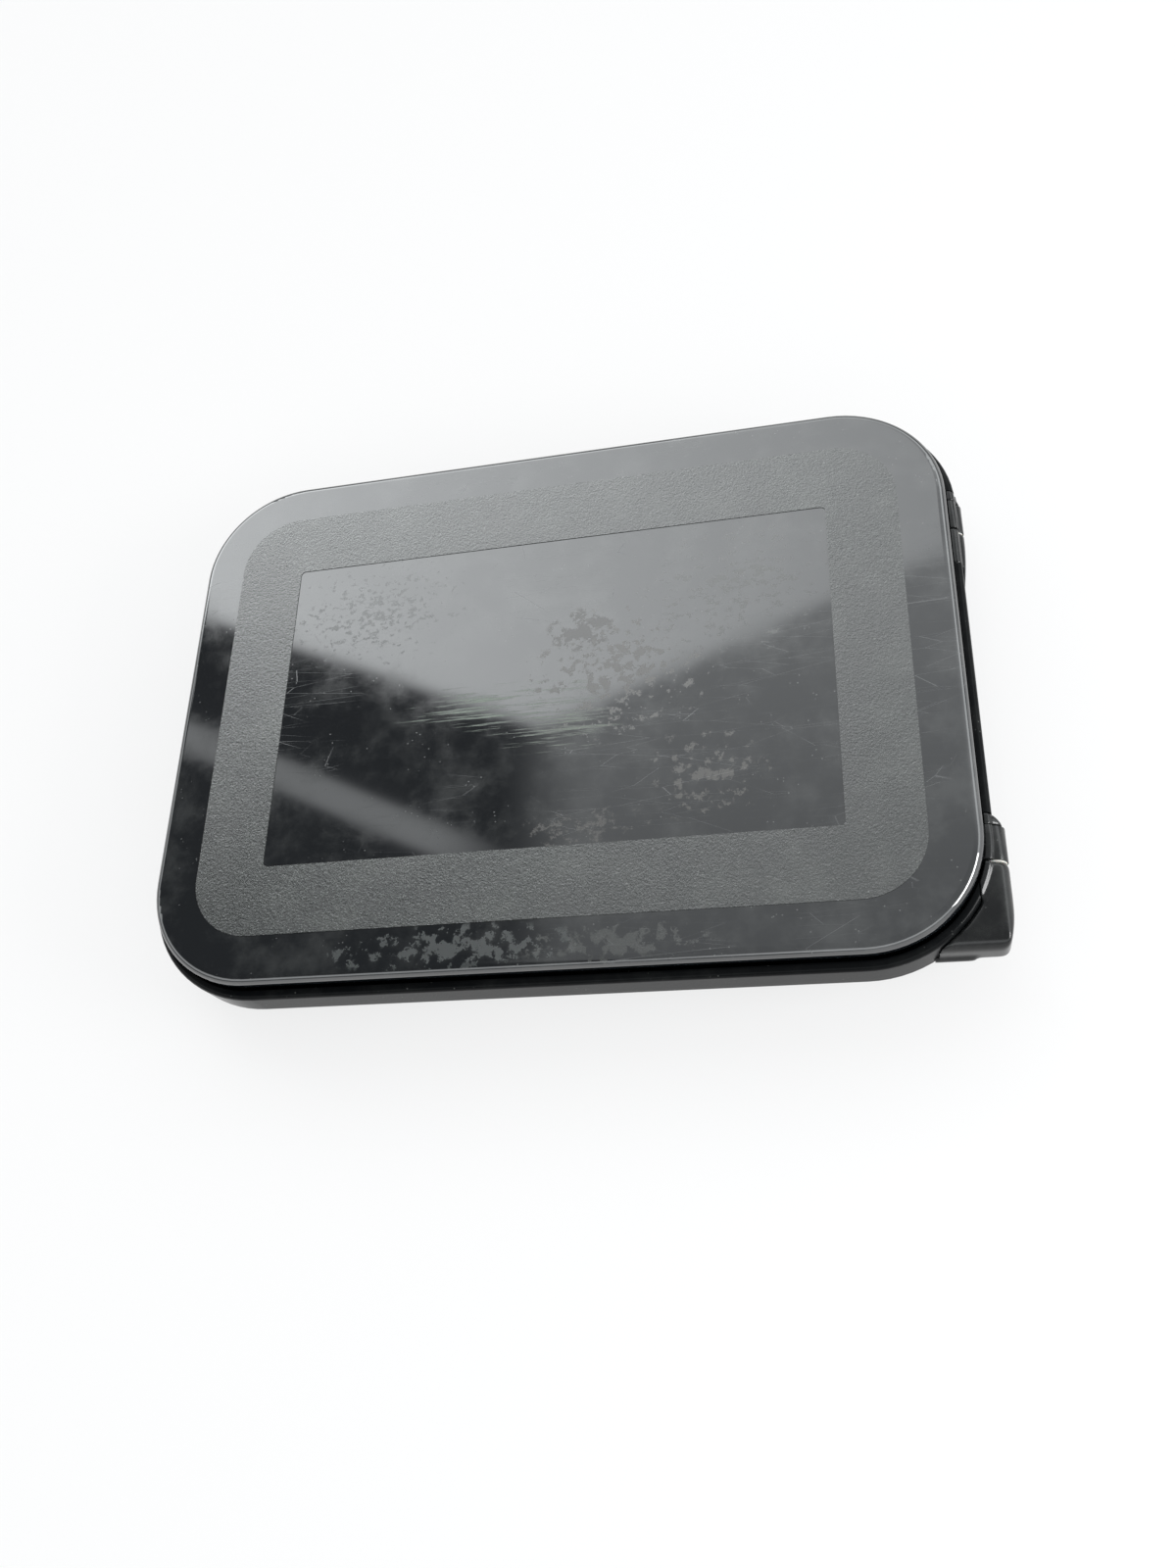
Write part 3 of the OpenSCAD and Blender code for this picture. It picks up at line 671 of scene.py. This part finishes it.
for turn, scale in SCRATCH_DIRECTIONS:
    turned = add(tree, "ShaderNodeMapping", Rotation=(0, 0, turn), Scale=SCRATCH_STRETCH)
    join(tree, place, turned.inputs["Vector"])
    lines = texture("ShaderNodeTexVoronoi", turned.outputs["Vector"],
                    feature="DISTANCE_TO_EDGE", Scale=scale, Randomness=1.0)
    cloudy = texture("ShaderNodeTexNoise", place, Scale=14.0, Detail=2.0)
    line = opposite(step(lines.outputs["Distance"], *SCRATCH_WIDTH))
    hair = product(line, step(cloudy.outputs["Fac"], *SCRATCHED_AREAS), upper_side)
    shade = blend_colour(tree, product(hair, SCRATCH_STRENGTH), shade, SCRATCH_COLOUR)
    dullness = vary(tree, hair, dullness, SCRATCH_ROUGHNESS)
join(tree, shade, shader.inputs["Base Color"])
join(tree, dullness, shader.inputs["Roughness"])
wave = texture("ShaderNodeTexNoise", place, Scale=WAVE_SCALE, Detail=1.0)
bump(tree, shader, wave.outputs["Fac"], WAVE_DEPTH, 0.15)
finishes["smoked_acrylic"] = acrylic
print("lens nodes:", len(tree.nodes))

# %% [markdown]
# ## Non-slip band
# A grey coating with fine grit is printed on the lens, so that a wet foot holds. Under
# flat light it is an even grey, and under low light each grain catches a point of light.
# Two sizes of noise make the grit, and small bright cells are the dust caught in it. The
# colour also follows the grit's height. It is darker in the pits, which is painted shade,
# and lighter on the grain tops, which is a painted highlight, over the grit's own tone.

# %% Non-slip coating
BAND_GREY = (0.03, 0.032, 0.032)
BAND_PIT_TONE_AND_SHADE = (0.006, 0.008, 0.0072)
BAND_TOP_TONE_AND_HIGHLIGHT = (0.046, 0.052, 0.048)
BAND_WORN = (0.026, 0.028, 0.027)
BAND_DUST = (0.16, 0.17, 0.155)
FINE_SHARE, COARSE_SHARE = 0.6, 0.4
GRIT_TONE_AND_LIGHT_EDGE = (0.30, 0.70)
WORN_EDGE = (0.35, 0.7)
BAND_ROUGHNESS = (0.19, 0.31)
GRIT_DEPTH = 0.00025

band_finish, tree, shader = finish("nonslip_grey", BAND_GREY, Roughness=0.25, IOR=1.7,
                                   Specular_IOR_Level=1.0)
fine = use_group(tree, grain_group, Scale=900.0, Contrast=1.8)
coarse = use_group(tree, grain_group, Scale=380.0, Contrast=1.2)
settled = use_group(tree, dust_group, Scale=30.0, Amount=0.14, Specks=0.9)
coarse_part = product(coarse.outputs["Height"], COARSE_SHARE)
grit = maths("ADD", product(fine.outputs["Height"], FINE_SHARE), coarse_part)
# Painted light: the grit's height picks the colour, so the pits get painted shade and the grain tops a
# painted highlight.
shade = blend_colour(tree, step(grit, *GRIT_TONE_AND_LIGHT_EDGE), BAND_PIT_TONE_AND_SHADE, BAND_TOP_TONE_AND_HIGHLIGHT)
shade = blend_colour(tree, step(coarse.outputs["Tone"], *WORN_EDGE), shade, BAND_WORN)
shade = blend_colour(tree, settled.outputs["Mask"], shade, BAND_DUST)
join(tree, shade, shader.inputs["Base Color"])
join(tree, vary(tree, grit, *BAND_ROUGHNESS), shader.inputs["Roughness"])
bump(tree, shader, grit, GRIT_DEPTH, 0.8)
finishes["nonslip_grey"] = band_finish
print("band ready")

# %% [markdown]
# ## Finishes on the construction parts
# Each part already says which finish it takes. The part's own mesh is kept, and only the
# material in its slots is exchanged.

# %% Give each part its finish
part_finish = {}
for entry in frame["record"]["materials"]:
    for node_name in entry.get("nodes", []):
        part_finish[node_name] = entry["slot"]
for node_name, part in frame["nodes"].items():
    slots = part.data.materials
    own_name = slots[0].name.split(".")[0] if slots else ""
    slot_name = part_finish.get(node_name, own_name)
    if slot_name not in finishes:
        print("no finish for", node_name)
        continue
    if not slots:
        slots.append(finishes[slot_name])
    for i in range(len(slots)):
        slots[i] = finishes[slot_name]
print("parts finished:", len(frame["nodes"]))

# %% [markdown]
# ## Hinge castings
# Each hinge is a small casting that wraps round the frame: a knuckle for the pin, ears
# that fill a notch in the rim, and a foot on the deck. A casting has no sharp edge where
# it was poured, and its shapes flow into each other. Bevelling so many meeting edges one
# by one is slow and breaks easily. Instead a copy of the construction part is rebuilt as
# an even skin of small faces, and mainly its outer side is smoothed, so that the faces
# that seat against the frame hardly move.

# %% Copy tools
MERGE_DISTANCE = 0.000005


def part_copy(name, node_name):
    """A separate, merged copy of a construction part's mesh, ready to be worked on."""
    piece = bpy.data.objects.new(name, frame["nodes"][node_name].data.copy())
    scene.collection.objects.link(piece)
    bpy.ops.object.select_all(action="DESELECT")
    piece.select_set(True)
    bpy.context.view_layer.objects.active = piece
    bpy.ops.object.mode_set(mode="EDIT")
    bpy.ops.mesh.select_all(action="SELECT")
    bpy.ops.mesh.remove_doubles(threshold=MERGE_DISTANCE)
    bpy.ops.mesh.customdata_custom_splitnormals_clear()
    bpy.ops.object.mode_set(mode="OBJECT")
    return piece


def modify(piece, kind, **settings):
    """Adds a modifier with the given settings and applies it."""
    modifier = piece.modifiers.new(kind.lower(), kind)
    for key, value in settings.items():
        setattr(modifier, key, value)
    bpy.ops.object.modifier_apply(modifier=modifier.name)


print("copy tools ready")

# %% [markdown]
# The outline of the base frame is a rectangle with round corners. A point's distance
# outside it decides how strongly that point is smoothed: a little inside the frame, where
# the casting is seated, rising to the full amount just outside it.

# %% Hinge castings
BASE_RADIUS = 0.074
VOXEL = 0.0005
RAMP_START = 0.003  # metres inside the outline
RAMP_LENGTH = 0.004
LEAST_WEIGHT = 0.15
SMOOTHING_ROUNDS = {"front": 110, "rear": 30}

base_low, base_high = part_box("base_frame")
CORNER_X = base_high.x - BASE_RADIUS
CORNER_Y = base_high.y - BASE_RADIUS


def outside_frame(point):
    """How far a point lies outside the base frame's rounded outline, in metres."""
    x = max(abs(point.x) - CORNER_X, 0)
    y = max(abs(point.y) - CORNER_Y, 0)
    return math.hypot(x, y) - BASE_RADIUS


for end, rounds in SMOOTHING_ROUNDS.items():
    casting = part_copy("hinge_casting_" + end, "hinge_body_" + end)
    modify(casting, "REMESH", mode="VOXEL", voxel_size=VOXEL)
    outer = casting.vertex_groups.new(name="outer")
    for v in casting.data.vertices:
        ramp = (outside_frame(v.co) + RAMP_START) / RAMP_LENGTH
        outer.add([v.index], min(1.0, max(LEAST_WEIGHT, ramp)), "REPLACE")
    modify(casting, "SMOOTH", factor=0.5, iterations=rounds, vertex_group="outer")
    casting.vertex_groups.clear()
    bpy.ops.object.shade_smooth()
    casting.data.materials.clear()
    casting.data.materials.append(finishes["hinge_black"])
    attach(casting, "base")
    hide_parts("hinge_body_" + end)
    print(casting.name, len(casting.data.polygons), "faces")

# %% [markdown]
# ## Latch levers, cams, housings, keepers and hinge arms
# Moulded and stamped parts have small round edges, which catch the light. A bevel on
# every edge sharper than 40 degrees does that, and leaves the round faces alone. Rounding
# the edges by hand would give the same, but the modifier keeps one width all over.

# %% Rounded fittings
BEVEL_STEPS = 3
BEVEL_ANGLE = 40
SMOOTH_ANGLE = 35
FITTINGS = {
    # part: body, bevel width in metres, finish
    "latch_lever_front": ("latch_front", 0.0014, "latch_black"),
    "latch_lever_rear": ("latch_rear", 0.0014, "latch_black"),
    "latch_cam_front": ("latch_front", 0.0006, "cam_grey"),
    "latch_cam_rear": ("latch_rear", 0.0006, "cam_grey"),
    "latch_housing_front": ("lid", 0.0007, "latch_black"),
    "latch_housing_rear": ("lid", 0.0007, "latch_black"),
    "keeper_front": ("base", 0.0006, "stainless_steel"),
    "keeper_rear": ("base", 0.0006, "stainless_steel"),
    "hinge_arm_front": ("lid", 0.0006, "hinge_black"),
    "hinge_arm_rear": ("lid", 0.0006, "hinge_black"),
}

for part_name, (body_name, width, finish_name) in FITTINGS.items():
    piece_name = part_name.replace("_front", "_rounded_front").replace("_rear", "_rounded_rear")
    fitting = part_copy(piece_name, part_name)
    modify(fitting, "BEVEL", width=width, segments=BEVEL_STEPS, limit_method="ANGLE",
           angle_limit=math.radians(BEVEL_ANGLE))
    bpy.ops.object.shade_smooth_by_angle(angle=math.radians(SMOOTH_ANGLE))
    fitting.data.materials.clear()
    fitting.data.materials.append(finishes[finish_name])
    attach(fitting, body_name)
    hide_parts(part_name)
    print(fitting.name, len(fitting.data.polygons), "faces")
